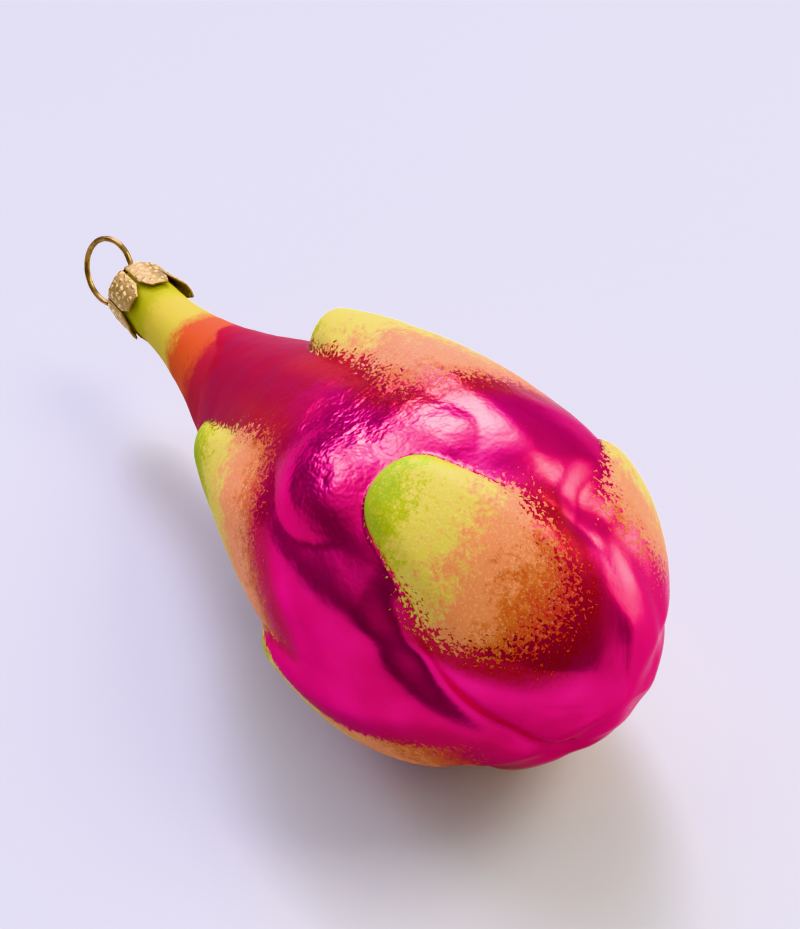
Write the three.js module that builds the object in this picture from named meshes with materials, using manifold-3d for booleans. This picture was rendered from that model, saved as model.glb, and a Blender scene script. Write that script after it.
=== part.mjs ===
// A blown glass ornament in the shape of a dragon fruit, lying on its side: a hollow shell with raised bracts
// and a long open neck, a stamped crown cap over the neck, and a wire whose loop hangs it and whose two legs
// spring inside the neck. Millimetres, +Z up. The round end points to +X and the neck to -X.
import * as THREE from "three";
import { ParametricGeometry } from "three/addons/geometries/ParametricGeometry.js";
import { mergeVertices } from "three/addons/utils/BufferGeometryUtils.js";
import Module from "manifold-3d";

const { clamp, smoothstep, lerp, degToRad } = THREE.MathUtils;

// Glass shell. A station is a distance along the axis from the round end.
const GLASS_LENGTH = 123; // round end to the rim of the neck
const BELLY_RADIUS = 24.6; // widest, without the bracts
const BELLY_STATION = 31.4;
const ROUND_END_POWER = 0.683; // 0.5 would be an ellipse, 1 nearly a point
const NECK_RADIUS = 4.9;
const NECK_STATION = 115.6; // where the taper has reached the neck's radius
const NECK_BEND = 2.3; // how far the rim has wandered to +Y in blowing
const BEND_POWER = 3; // the bend grows with this power of the way from the belly
const GLASS_WALL = 1.5;
const RIM_CLEARANCE = 2; // the hollow's cut runs this far past the rim
const AROUND = 60; // facets round the glass
const ALONG = 46; // rows of facets from the round end to the middle of the rim

// Bracts: the raised scales. Angles turn about the axis from straight up, positive towards +Y.
const ROOT_HEIGHT = 1.4; // over the core, near the round end
const NOSE_EDGE = 4.2; // width of the rounded edge at a tip
const EDGE_CHANGE = 12; // an edge takes its flank width over this length
const EDGE_POWER = 0.8; // 0.5 would be a quarter circle
const CORNER_BLEND = 5; // rounding where a flank meets the boundary to the next bract
const HOLLOW_OFFSET = 4; // middle of the hollow beside a bract, from its edge
const HOLLOW_WIDTH = 3;
const HOLLOW_FADE = [0.62, 0.87]; // the hollow ends between these shares of the bract's length

// tip: station of the tip. height: of the tip over the core, fall: share of the bract's length over which it
// sinks to the root's height. nose and breadth: radii of the outline at the tip and at its broad part, reach:
// the distance between those two. sector: half the angle that it may take at the round end. flank: width of
// its edge along the sides, softness: 0 for a rounded edge, 1 for one that runs out. before and after: depths
// of the hollows beside it, where the angle is smaller and larger.
const UPPER = { breadth: 15, fall: 0.75, flank: 9, softness: 1, before: 0.3, after: 0.3 };
const UPPER_BRACTS = [
  { ...UPPER, angle: 29, tip: 73.3, height: 5.6, nose: 6.4, reach: 24, sector: 59, fall: 0.56 },
  { ...UPPER, angle: -86, tip: 79.8, height: 2, nose: 6.2, reach: 26, sector: 59, breadth: 15.5 },
  { ...UPPER, angle: 178, tip: 66, height: 5.8, nose: 7.5, reach: 22, sector: 61 },
];
const LOWER = { nose: 6, breadth: 12, fall: 0.75, flank: 5, softness: 0.6, before: 0.5, after: 0.5 };
const FRONT = { ...LOWER, nose: 7, breadth: 13.5, softness: 0.3, before: 1.8 };
const LOWER_BRACTS = [
  { ...LOWER, angle: -113, tip: 47, height: 3.8, reach: 28, sector: 36 },
  { ...LOWER, angle: 176, tip: 40, height: 3.4, reach: 26, sector: 46, breadth: 14 },
  { ...LOWER, angle: 120, tip: 38, height: 3.2, reach: 22, sector: 34, breadth: 11 },
  { ...LOWER, angle: 57, tip: 27, height: 2.5, reach: 16, sector: 44, before: 1 },
  { ...FRONT, angle: -28, tip: 33, height: 3.6, reach: 20, sector: 47 },
];

// Two low swells of the core above the front bract.
const SWELL_EDGE = 0.7; // share of the radius over which a swell rises
const SWELLS = [
  { angle: -42, station: 41, radius: 11, height: 1.5 },
  { angle: 0, station: 36, radius: 12, height: 1 },
];

// How it lies.
const DROOP = degToRad(5); // the neck's fall below level
const FLAT_DEPTH = 0.8; // glass taken off where it rests

// Crown cap. Heights are from the rim of the glass, positive outwards.
const CAP_SHEET = 0.45;
const CAP_RADIUS = 5.9; // outside, at the ends of the leaves
const SHOULDER_RADIUS = 5.8; // outside, level with the rim
const DOME_HEIGHT = 3.2;
const DOME_STEPS = 8;
const CAP_FACETS = 48;
const LEAVES = 6;
const LEAF_LENGTH = 7.6; // below the rim
const FIRST_SLIT = degToRad(40);
const SLIT_WIDTH = 0.35;
const SLIT_TOP = 0.8;
const NOTCH_WIDTH = 3; // the cut corners of two leaves, together
const NOTCH_TOP = -4.8;
const WIRE_HOLE_RADIUS = 1;
const WIRE_HOLE_OFFSET = 2.8;
const WIRE_HOLE_FACETS = 20;

// Hanger wire.
const WIRE_RADIUS = 0.52;
const WIRE_FACETS = 10;
const WIRE_STEPS = 64;
const LOOP_RADIUS = 5.6; // to the middle of the wire
const LOOP_RISE = 5.5; // middle of the loop above the dome
const LOOP_ANGLE = degToRad(21);
const LOOP_LEAN = -0.28; // sideways, for each millimetre above the dome
const LOOP_OPEN = degToRad(40); // half the part of the circle left open at the cap
const LOOP_POINTS = 16;
const LEG_OFFSET = 2.4;
const LEG_DEPTH = 14; // below the rim

const wasm = await Module();
wasm.setup();

// The core's outline: a soft round end up to the belly, then half a cosine wave down to the neck.
class CoreOutline extends THREE.Curve {
  getPoint(t, target = new THREE.Vector2()) {
    const station = GLASS_LENGTH * t * t;
    const before = Math.max(1 - station / BELLY_STATION, 0);
    const roundEnd = BELLY_RADIUS * Math.pow(1 - before * before, ROUND_END_POWER);
    const after = clamp((station - BELLY_STATION) / (NECK_STATION - BELLY_STATION), 0, 1);
    const taper = lerp(NECK_RADIUS, BELLY_RADIUS, (1 + Math.cos(Math.PI * after)) / 2);
    return target.set(station, before > 0 ? roundEnd : taper);
  }
}
const outline = new CoreOutline();
outline.arcLengthDivisions = 2000;
const outlineLength = outline.getLength();

// Length along the outline from the round end to a station.
function arcAt(station) {
  const lengths = outline.getLengths();
  const place = Math.sqrt(station / GLASS_LENGTH) * (lengths.length - 1);
  const before = Math.min(Math.floor(place), lengths.length - 2);
  return lerp(lengths[before], lengths[before + 1], place - before);
}

// The turn from one angle in degrees to another in radians, the short way round.
function turnFrom(degrees, angle) {
  const turn = angle - degToRad(degrees);
  return Math.atan2(Math.sin(turn), Math.cos(turn));
}

const shoulder = (x) => Math.pow(1 - (1 - clamp(x, 0, 1)) ** 2, EDGE_POWER);

function smoothMin(a, b, blend) {
  const share = clamp(0.5 + (b - a) / (2 * blend), 0, 1);
  return lerp(b, a, share) - blend * share * (1 - share);
}

// How a bract changes the glass at a place: its height, the share of it that covers the place, and the hollow
// beside it. Its outline is a small circle at the tip and a larger one nearer the round end, with their
// common tangents, kept within its own sector where the bracts meet at the round end.
function bractAt(bract, arc, angle, radius) {
  const turn = turnFrom(bract.angle, angle);
  const across = Math.abs(radius * turn);
  const tipArc = arcAt(bract.tip);
  const down = tipArc - bract.nose - arc;
  const slope = (bract.nose - bract.breadth) / bract.reach;
  const cosine = Math.sqrt(1 - slope * slope);
  const region = cosine * down - slope * across;
  let inside = bract.breadth - Math.hypot(across, Math.min(down - bract.reach, 0));
  if (region < cosine * bract.reach) inside = bract.nose - cosine * across - slope * down;
  if (region < 0) inside = bract.nose - Math.hypot(across, down);
  const fromSector = radius * (degToRad(bract.sector) - Math.abs(turn));
  const depthInside = smoothMin(inside, fromSector, CORNER_BLEND);

  const alongFlank = smoothstep(down, 0, EDGE_CHANGE);
  const edge = lerp(NOSE_EDGE, bract.flank, alongFlank);
  const runOut = smoothstep(depthInside, 0, edge);
  const cover = lerp(shoulder(depthInside / edge), runOut, bract.softness * alongFlank);

  const fromTip = clamp((tipArc - arc) / tipArc, 0, 1);
  const height = lerp(bract.height, ROOT_HEIGHT, smoothstep(fromTip, 0, bract.fall));

  const beside = smoothstep(down, 0, bract.nose) * (1 - smoothstep(fromTip, ...HOLLOW_FADE));
  const bowl = Math.exp(-(((inside + HOLLOW_OFFSET) / HOLLOW_WIDTH) ** 2));
  const hollow = (turn < 0 ? bract.before : bract.after) * beside * bowl * (1 - cover);
  return { height, cover, hollow };
}

// Height of the glass over its core: the upper bracts, the swells, then the lower bracts laid over them.
function relief(arc, angle, radius) {
  let level = 0;
  for (const bract of UPPER_BRACTS) {
    const { height, cover, hollow } = bractAt(bract, arc, angle, radius);
    level = Math.max(level, height * cover) - hollow;
  }
  for (const swell of SWELLS) {
    const across = radius * turnFrom(swell.angle, angle);
    const away = Math.hypot(across, arc - arcAt(swell.station)) / swell.radius;
    level = Math.max(level, swell.height * smoothstep(1 - away, 0, SWELL_EDGE));
  }
  for (const bract of LOWER_BRACTS) {
    const { height, cover, hollow } = bractAt(bract, arc, angle, radius);
    level -= hollow;
    level = lerp(level, Math.max(height, level), cover);
  }
  return level;
}

// Sideways place of the bent axis at a station.
function bendAt(station) {
  const past = Math.max(station - BELLY_STATION, 0) / (GLASS_LENGTH - BELLY_STATION);
  return NECK_BEND * past ** BEND_POWER;
}

// A closed surface that follows the glass at a depth under its outside, its neck closed by a flat end.
function glassGeometry(depth, pastRim) {
  const point = new THREE.Vector2();
  const tangent = new THREE.Vector2();
  const surface = (u, v, target) => {
    const share = Math.min((v * ALONG) / (ALONG - 1), 1);
    const angle = 2 * Math.PI * u;
    const onAxis = v === 0 || v === 1;
    outline.getPointAt(share, point);
    outline.getTangentAt(share, tangent);
    const lift = relief(share * outlineLength, angle, point.y) - depth;
    const station = point.x - tangent.y * lift + (share === 1 ? pastRim : 0);
    const radius = onAxis ? 0 : Math.max(point.y + tangent.x * lift, 0);
    target.set(-station, bendAt(station) + radius * Math.sin(angle), radius * Math.cos(angle));
  };
  return new ParametricGeometry(surface, AROUND, ALONG);
}

// A closed geometry as a solid that can be joined and cut: shared corners are merged, and the triangles that
// shrink to a line at the ends of the axis are dropped.
function solid(geometry) {
  const bare = new THREE.BufferGeometry().setAttribute("position", geometry.getAttribute("position"));
  bare.setIndex(geometry.index);
  const merged = mergeVertices(bare);
  const corners = merged.index.array;
  const kept = [];
  for (let i = 0; i < corners.length; i += 3) {
    const [a, b, c] = corners.slice(i, i + 3);
    if (a !== b && b !== c && c !== a) kept.push(a, b, c);
  }
  const vertProperties = merged.getAttribute("position").array;
  return new wasm.Manifold(new wasm.Mesh({ numProp: 3, vertProperties, triVerts: new Uint32Array(kept) }));
}

function meshOf(body, name, material) {
  const { vertProperties, triVerts } = body.getMesh();
  const geometry = new THREE.BufferGeometry();
  geometry.setAttribute("position", new THREE.BufferAttribute(vertProperties, 3));
  geometry.setIndex(new THREE.BufferAttribute(triVerts, 1));
  geometry.computeVertexNormals();
  const mesh = new THREE.Mesh(geometry, material);
  mesh.name = name;
  return mesh;
}

// The lying pose: the neck droops, and the lowest glass reaches below the surface by the flat's depth.
const outside = glassGeometry(0, 0).rotateY(-DROOP);
outside.computeBoundingBox();
const lift = -outside.boundingBox.min.z - FLAT_DEPTH;
outside.translate(0, 0, lift);

// The shell is the outside less the hollow, with a small flat where it rests.
function glassBody() {
  const hollow = glassGeometry(GLASS_WALL, RIM_CLEARANCE).rotateY(-DROOP).translate(0, 0, lift);
  const size = 2 * GLASS_LENGTH;
  const under = new THREE.BoxGeometry(size, size, size).translate(0, 0, -size / 2);
  const body = solid(outside).subtract(solid(hollow)).subtract(solid(under));
  const lacquer = new THREE.MeshStandardMaterial({ color: 0xd7146e, roughness: 0.25, metalness: 0.7 });
  return meshOf(body, "glass_body", lacquer);
}

// The cap and the wire are made on the rim's own axes: +Y outwards along the neck, +Z up, +X to the side.
function capOutline(inset) {
  const shoulderRadius = SHOULDER_RADIUS - inset;
  const dome = new THREE.EllipseCurve(0, 0, shoulderRadius, DOME_HEIGHT - inset, 0, Math.PI / 2);
  return [new THREE.Vector2(CAP_RADIUS - inset, -LEAF_LENGTH), ...dome.getPoints(DOME_STEPS)];
}

// One cut between two leaves: a slit up to the dome that opens into the leaves' cut corners.
function leafCut(angle) {
  const side = [
    new THREE.Vector2(SLIT_WIDTH / 2, SLIT_TOP),
    new THREE.Vector2(SLIT_WIDTH / 2, NOTCH_TOP),
    new THREE.Vector2(NOTCH_WIDTH / 2, -LEAF_LENGTH),
    new THREE.Vector2(NOTCH_WIDTH / 2, -LEAF_LENGTH - 1),
  ];
  const otherSide = side.map((corner) => new THREE.Vector2(-corner.x, corner.y)).reverse();
  const shape = new THREE.Shape([...side, ...otherSide]);
  const cut = new THREE.ExtrudeGeometry(shape, { depth: CAP_RADIUS, bevelEnabled: false });
  return cut.translate(0, 0, CAP_RADIUS / 2).rotateY(angle);
}

function crownCap() {
  const profile = [...capOutline(CAP_SHEET).reverse(), ...capOutline(0)];
  let body = solid(new THREE.LatheGeometry(profile, CAP_FACETS));
  for (let i = 0; i < LEAVES; i++) {
    body = body.subtract(solid(leafCut(FIRST_SLIT + (2 * Math.PI * i) / LEAVES)));
  }
  for (const side of [-1, 1]) {
    const height = 2 * DOME_HEIGHT;
    const hole = new THREE.CylinderGeometry(WIRE_HOLE_RADIUS, WIRE_HOLE_RADIUS, height, WIRE_HOLE_FACETS);
    hole.translate(0, DOME_HEIGHT, side * WIRE_HOLE_OFFSET).rotateY(LOOP_ANGLE);
    body = body.subtract(solid(hole));
  }
  const brass = new THREE.MeshStandardMaterial({ color: 0xc39b5f, roughness: 0.35, metalness: 1 });
  return meshOf(body, "crown_cap", brass);
}

// The wire runs up one leg, round the loop and down the other leg.
function hangerWire() {
  const leg = (side) =>
    [-LEG_DEPTH, -LEG_DEPTH / 2, 0, DOME_HEIGHT / 2].map(
      (height) => new THREE.Vector3(0, height, side * LEG_OFFSET),
    );
  const loopMiddle = DOME_HEIGHT + LOOP_RISE;
  const loop = [];
  for (let i = 0; i <= LOOP_POINTS; i++) {
    const turn = lerp(LOOP_OPEN, 2 * Math.PI - LOOP_OPEN, i / LOOP_POINTS);
    const height = loopMiddle - LOOP_RADIUS * Math.cos(turn);
    loop.push(new THREE.Vector3(LOOP_LEAN * (height - DOME_HEIGHT), height, LOOP_RADIUS * Math.sin(turn)));
  }
  const route = new THREE.CatmullRomCurve3([...leg(1), ...loop, ...leg(-1).reverse()]);
  const circle = new THREE.EllipseCurve(0, 0, WIRE_RADIUS, WIRE_RADIUS);
  const section = new THREE.Shape(circle.getPoints(WIRE_FACETS));
  const wire = new THREE.ExtrudeGeometry(section, { steps: WIRE_STEPS, extrudePath: route });
  const brass = new THREE.MeshStandardMaterial({ color: 0xb8924f, roughness: 0.3, metalness: 1 });
  return meshOf(solid(wire.rotateY(LOOP_ANGLE)), "hanger_wire", brass);
}

// Cap and wire sit on the end of the bent, drooping neck.
const rim = new THREE.Group();
const bendSlope = Math.atan((BEND_POWER * NECK_BEND) / (GLASS_LENGTH - BELLY_STATION));
rim.position.set(-GLASS_LENGTH, NECK_BEND, 0);
rim.rotation.z = Math.PI / 2 - bendSlope;
rim.add(crownCap(), hangerWire());
const neck = new THREE.Group();
neck.position.z = lift;
neck.rotation.y = -DROOP;
neck.add(rim);

// The origin is under the middle of the whole ornament, on the surface it lies on.
const ornament = new THREE.Group();
ornament.add(glassBody(), neck);
const middle = new THREE.Box3().setFromObject(ornament, true).getCenter(new THREE.Vector3());
ornament.position.set(-middle.x, -middle.y, 0);

const part = new THREE.Group();
part.name = "dragon_fruit_ornament";
part.add(ornament);

export default part;
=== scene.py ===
"""A blown glass dragon fruit ornament: lacquered glass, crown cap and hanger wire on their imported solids."""
import math

import bpy
import numpy as np
from bpy.props import FloatProperty, FloatVectorProperty, IntProperty, PointerProperty
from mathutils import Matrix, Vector


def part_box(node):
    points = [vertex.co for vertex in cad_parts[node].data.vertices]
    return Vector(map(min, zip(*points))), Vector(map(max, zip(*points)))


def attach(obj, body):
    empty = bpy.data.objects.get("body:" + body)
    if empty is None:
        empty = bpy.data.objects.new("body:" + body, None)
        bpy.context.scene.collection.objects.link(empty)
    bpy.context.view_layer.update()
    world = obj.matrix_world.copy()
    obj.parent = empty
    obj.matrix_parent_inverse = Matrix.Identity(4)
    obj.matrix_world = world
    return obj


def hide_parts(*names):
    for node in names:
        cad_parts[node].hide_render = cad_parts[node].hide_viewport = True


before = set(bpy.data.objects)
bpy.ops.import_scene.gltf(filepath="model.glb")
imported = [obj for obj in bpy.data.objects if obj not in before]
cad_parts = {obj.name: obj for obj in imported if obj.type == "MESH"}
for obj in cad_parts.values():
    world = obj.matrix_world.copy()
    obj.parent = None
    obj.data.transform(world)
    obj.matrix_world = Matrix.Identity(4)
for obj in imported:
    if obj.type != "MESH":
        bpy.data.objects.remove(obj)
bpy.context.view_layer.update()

bl_info = {
    "name": "Dragon Fruit Ornament",
    "version": (1, 0, 0),
    "blender": (4, 5, 0),
    "location": "3D View > Sidebar > Ornament",
    "description": "Builds a blown glass dragon fruit ornament with its cap, wire and studio",
    "category": "Object",
}

MM = 0.001
TINY = 1e-6
NO_TRIANGLES = np.zeros((0, 3), int)

# What the glass and all its bracts share, in millimetres or as shares.
ROUND_END_POWER = 0.683  # 0.5 would be an ellipse, 1 nearly a point
BEND_POWER = 3  # the neck's bend grows with this power of the way from the belly
ROOT_HEIGHT = 1.4  # of a bract at the round end
POLE_HEIGHT = 0.6 * ROOT_HEIGHT  # of the glass at the very end, where the bracts meet
POLE_BLEND = 10.0  # how far from the end that reaches
NOSE_EDGE = 4.2  # width of the slope round a tip
EDGE_CHANGE = 12.0  # how far below a tip that slope has become the flank's
EDGE_POWER = 0.8  # under 1, the slope is steeper at its foot
CORNER_BLEND = 5.0  # rounding where a flank meets the side of its sector
HOLLOW_OFFSET = 4.0  # from a flank to the middle of the hollow beside it
HOLLOW_WIDTH = 3.0
HOLLOW_FADE = (0.62, 0.87)  # where a hollow runs out on the way from the tip to the round end
SWELL_EDGE = 0.7  # share of a swell's radius that slopes
RIPPLES = ((9.0, 0.6, 7), (4.0, 0.4, 8))  # waves left by blowing: wavelength, share and seed
RIPPLE_WAVES = 40
RIPPLE_START = (2.0, 8.0)  # from the round end, where the ripples begin
RIPPLE_STOP = (-12.0, -6.0)  # from the rim, where they end
SKIN_SAMPLES = 240  # along and round, to find where the glass lies

# Bracts, in millimetres and degrees. Angles turn from straight up towards +Y, and a tip is a distance along
# the axis from the round end. The sponged colour runs from the tip along the surface to paint, further by
# slant for each millimetre towards larger angles and less by bow for its square. Past bare_from it leaves the
# widths in bare free along the two flanks. first is the shade at the tip, pace how it grows along, skew how
# towards larger angles, and stain the strength of the red round it and the share of paint where that begins.
PAINT = dict(slant=0.0, bow=0.03, bare=(1.0, 1.0), bare_from=8.0, first=0.05, pace=0.9, skew=0.3,
             stain=(1.0, 0.3))
UPPER = dict(PAINT, breadth=15.0, fall=0.75, flank=9.0, softness=1.0, before=0.3, after=0.3)
UPPER_BRACTS = [
    dict(UPPER, angle=29.0, tip=73.3, height=5.6, nose=6.4, reach=24.0, sector=59.0, fall=0.56,
         paint=37.0, slant=0.4, bow=0.0, bare=(3.2, 2.0), bare_from=6.0, first=0.1, pace=0.6, skew=-0.75,
         stain=(1.0, 0.0)),
    # This bract faces away from the light: its shades start greener at the tip and grow redder faster, partly
    # its own colours and partly painted shade.
    dict(UPPER, angle=-86.0, tip=79.8, height=2.0, nose=6.2, reach=26.0, sector=59.0, breadth=15.5,
         paint=38.0, slant=-0.75, bow=0.0, bare=(0.4, -1.5), bare_from=4.0, first=-0.1, pace=0.95, skew=0.8,
         stain=(0.8, 0.1)),
    dict(UPPER, angle=178.0, tip=66.0, height=5.8, nose=7.5, reach=22.0, sector=61.0, paint=34.0),
]
LOWER = dict(PAINT, nose=6.0, breadth=12.0, fall=0.75, flank=5.0, softness=0.6, before=0.5, after=0.5)
FRONT = dict(LOWER, nose=7.0, breadth=13.5, softness=0.3, before=1.8)
LOWER_BRACTS = [
    dict(LOWER, angle=-113.0, tip=47.0, height=3.8, reach=28.0, sector=36.0,
         paint=36.0, bow=0.0, bare=(2.0, 10.5), bare_from=0.0, first=0.05, stain=(0.35, 0.3)),
    dict(LOWER, angle=176.0, tip=40.0, height=3.4, reach=26.0, sector=46.0, breadth=14.0, paint=30.0),
    dict(LOWER, angle=120.0, tip=38.0, height=3.2, reach=22.0, sector=34.0, breadth=11.0, paint=28.0),
    dict(LOWER, angle=57.0, tip=27.0, height=2.5, reach=16.0, sector=44.0, before=1.0,
         paint=19.5, bow=0.06, bare=(-0.4, 0.4), bare_from=4.0, first=0.2, pace=0.5, skew=-0.4,
         stain=(0.3, 0.3)),
    dict(FRONT, angle=-28.0, tip=33.0, height=3.6, reach=20.0, sector=47.0,
         paint=30.0, bow=0.09, bare=(0.3, 4.5), bare_from=14.0, first=-0.05, pace=1.05, skew=0.25),
]
SWELLS = [
    dict(angle=-42.0, station=41.0, radius=11.0, height=1.5),
    dict(angle=0.0, station=36.0, radius=12.0, height=1.0),
]

# How the sponged colour lies, in millimetres or as shares.
SPONGE_LIMIT = 2.0  # no place is further inside or outside the colour than this many grains
COVERED = (0.1, 0.5)  # cover of a lower bract over which it hides the colour under it
LAST_SHADE = 1.4
FLANK_CHANGE = 0.15  # half the turn, in radians, over which one flank's bare width becomes the other's
TIP_MARGIN = 0.2  # bare width round a tip
BARE_TO = 22.0  # how far below the tip the bare flanks have their full width
END_SLOPE = 0.8  # the colour ends more softly along the bract than at its flanks
PAINT_CORNER = 3.0  # rounding of the colour's far corners
GRAIN_SPREAD = (2.5, 11.0)  # width of the sponged edge at the tip and at the far end
GRAIN_CHANGE = (0.15, 0.95)  # shares of the colour's length between which it widens
STAIN_EDGE = (-7.0, -3.0)  # outside the colour, where the red round it fades
STAIN_GROWTH = 0.3  # share of paint in which the red reaches its strength
TIP_SHADE_FADE = (4.0, 14.0)  # below the tip, where the painted shade line round it runs out
TIP_SHADE_FAR = 6.0
OFF_TIP_SHADE = 9.0

# Soft oval spots on the glass: stray orange grains, and the dents of the blowing.
STRAY_GRAINS = dict(station=43.0, length=8.0, angle=-25.8, width=15.0)
DENT_BAND = dict(station=46.0, length=13.0, angle=-14.3, width=34.0)
DENTS_ALL_OVER = 0.1

# Tints of the gloss, on bare lacquer and on paint.
PINK_GLOSS = (1.0, 0.35, 0.6)
WHITE_GLOSS = (1.0, 1.0, 1.0)

# Where the orange of the neck ends, as angles and stations.
NECK_EDGE_ANGLES = (-180.0, -120.0, -80.0, -64.0, -31.0, -10.0, 20.0, 60.0, 120.0)
NECK_EDGE_STATIONS = (92.0, 86.0, 83.5, 84.0, 87.0, 92.0, 95.0, 98.0, 95.0)

# The cap's mesh and stamping, in millimetres, degrees or as shares.
CAP_FACES = (44, 84)  # across a leaf and from the middle of the dome to its end
DOME_SHARE = 0.45  # of the rows, for the dome
PEBBLE_SIZE = 1.1
PEBBLE_WAVES = 48
PEBBLE_SEED = 21
PEBBLE_EDGE = (0.15, 0.7)
SMOOTH_EDGE = 0.5  # along the slits, without grain
SMOOTH_END = (0.93, 1.0)  # of a leaf's length, where the grain ends
CREASE_WIDTH = 0.35
CREASE_DEPTH = 0.15
CREASE_SHADE = 0.8  # share of the grain's brightness that a crease takes
CREASE_START = (0.16, 0.3)  # share of the rows where the creases between the leaves begin
STANDING_LEAF = 70.0  # angle of the leaf that stands off the neck
OTHER_LEAVES = 0.12  # how far the others stand off
LEAF_CURL = 1.6  # power with which a leaf bends away
LEAST_RADIUS = 0.5  # under it a slit's angle grows no more
WELD_WITHIN = 0.004
LOOP_POINTS = 17  # on the wire's loop

# The camera, as in the photo: lens and sensor in millimetres, its aim and the way from there to it.
LENS = 69.75
SENSOR = 36.0
LENS_SHIFT = (-0.0072, 0.0642)
CAMERA_AIM = (0.02376, 0.00084, 0.02688)
CAMERA_SIDE = (0.5734, -0.4349, 0.6943)
CLIP_START = 0.01

# Light from all round, and the lit patches of the studio: direction, sharpness, strength and colour.
SURROUNDINGS = (0.078, 0.076, 0.08)
ROOM = (0.98, 0.95, 0.98)
SKY = (0.91, 0.86, 1.42)
LAMP = (1.0, 0.96, 0.96)
LIT_PATCHES = (
    ((-0.58, 0.33, 0.75), 22.0, 3.0, SKY),
    ((-0.64, 0.37, 0.67), 85.0, 25.0, SKY),
    ((-0.68, -0.25, 0.69), 20.0, 1.6, SKY),
    ((-0.74, -0.26, 0.62), 85.0, 10.0, SKY),
    ((-0.39, -0.56, 0.73), 16.0, 0.9, ROOM),
    ((0.45, -0.35, 0.82), 10.0, 0.45, ROOM),
    ((0.10, 0.20, 1.00), 3.0, 0.2, ROOM),
    ((-0.30, 0.85, 0.43), 2.5, 0.5, ROOM),
    ((0.36, 0.91, 0.14), 40.0, 7.0, ROOM),
)


def colour(name, text, red, green, blue):
    """A colour property from 8-bit sRGB values, kept linear."""
    srgb = np.array([red, green, blue]) / 255.0
    linear = np.where(srgb > 0.04045, ((srgb + 0.055) / 1.055) ** 2.4, srgb / 12.92)
    return FloatVectorProperty(
        name=name, description=text, subtype="COLOR", size=3, min=0.0, max=1.0, default=tuple(linear)
    )


def length(name, text, millimetres):
    """A length property from millimetres, kept in metres."""
    return FloatProperty(
        name=name, description=text, unit="LENGTH", subtype="DISTANCE", precision=5, default=millimetres * MM
    )


def turn(name, text, degrees):
    """An angle property from degrees, kept in radians."""
    return FloatProperty(
        name=name, description=text, unit="ROTATION", subtype="ANGLE", default=math.radians(degrees)
    )


class GlassSettings(bpy.types.PropertyGroup):
    """Sizes and colours of the glass."""

    length: length("Length", "Round end to the rim of the neck", 123.0)
    belly_radius: length("Belly Radius", "Widest radius, without the bracts", 24.6)
    belly_station: length("Belly Station", "Place of the belly along the axis", 31.4)
    neck_radius: length("Neck Radius", "Radius at the rim", 4.9)
    neck_station: length("Neck Station", "Where the taper has reached the neck", 115.6)
    neck_bend: length("Neck Bend", "How far the rim has wandered sideways", 2.3)
    wall: length("Wall", "Thickness of the glass", 1.5)
    flat_depth: length("Flat Depth", "Glass taken off where it rests", 0.8)
    ripple: length("Ripple", "Depth of the waves left by blowing", 0.16)
    droop: turn("Droop", "Fall of the neck below level", 5.0)
    around: IntProperty(name="Around", description="Faces round the glass", default=264, min=24)
    along: IntProperty(name="Along", description="Rows of faces on the outside", default=300, min=24)
    inside: IntProperty(name="Inside", description="Rows of faces in the hollow", default=60, min=12)
    lacquer: colour("Lacquer", "Pink lacquer over the silvering", 227, 42, 122)
    lacquer_deep: colour("Deep Lacquer", "Where the lacquer is thicker", 208, 31, 96)
    shoulder: colour("Shoulder", "Rosy crimson between the neck and the bracts", 154, 30, 54)
    edge_red: colour("Edge Red", "Red where the neck's orange ends", 166, 22, 36)
    wash: colour("Red Wash", "Red round the sponged colours", 160, 26, 26)
    deep_green: colour("Deep Green", "Thick paint at the tips", 152, 172, 0)
    green: colour("Green", "Tips of the bracts", 176, 180, 4)
    yellow: colour("Yellow", "Behind the tips", 214, 196, 78)
    cream: colour("Cream", "Fine specks on the sponged colours", 240, 226, 158)
    peach: colour("Peach", "Middle of the bracts", 228, 142, 86)
    orange: colour("Orange", "Far end of the sponged colour", 198, 100, 38)
    red: colour("Red", "Last of the sponged colour", 190, 56, 36)
    neck_green: colour("Neck Green", "Neck under the cap", 170, 164, 16)
    neck_yellow: colour("Neck Yellow", "Neck, before the orange", 200, 180, 56)
    neck_orange: colour("Neck Orange", "Neck, before the crimson", 200, 80, 26)
    # Painted shade: the dark line along the tips' outlines, for an overhang of the tips that the relief
    # doesn't have.
    line: colour("Tip Line", "Dark line along the tips", 115, 35, 46)


class CapSettings(bpy.types.PropertyGroup):
    """Sizes and colours of the crown cap."""

    sheet: length("Sheet", "Thickness of the stamped sheet", 0.45)
    radius: length("Radius", "Outside radius at the ends of the leaves", 5.9)
    shoulder_radius: length("Shoulder Radius", "Outside radius level with the rim", 5.8)
    dome: length("Dome", "Height over the rim", 3.2)
    leaf: length("Leaf", "Length of a leaf below the rim", 7.6)
    slit_width: length("Slit Width", "Gap between two leaves", 0.35)
    slit_top: length("Slit Top", "Upper end of a slit over the rim", 0.8)
    notch_width: length("Notch Width", "Cut corners of two leaves together", 3.0)
    notch_top: length("Notch Top", "Upper end of the cut corners", -4.8)
    hole: length("Hole", "Radius of a wire hole", 0.85)
    hole_offset: length("Hole Offset", "From the middle of the dome to a hole", 2.8)
    grain: length("Grain", "Depth of the pebble grain", 0.14)
    standing: length("Standing", "How far one leaf stands off the neck", 0.9)
    first_slit: turn("First Slit", "Angle of the first slit", 40.0)
    leaves: IntProperty(name="Leaves", description="Leaves round the neck", default=6, min=3)
    brass: colour("Brass", "Raised grain", 226, 192, 112)
    # Darker brass of the low places between the pebbles, and, as painted shade, of the creases between the
    # leaves.
    dark_brass: colour("Dark Brass", "Low places", 176, 144, 80)


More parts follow.
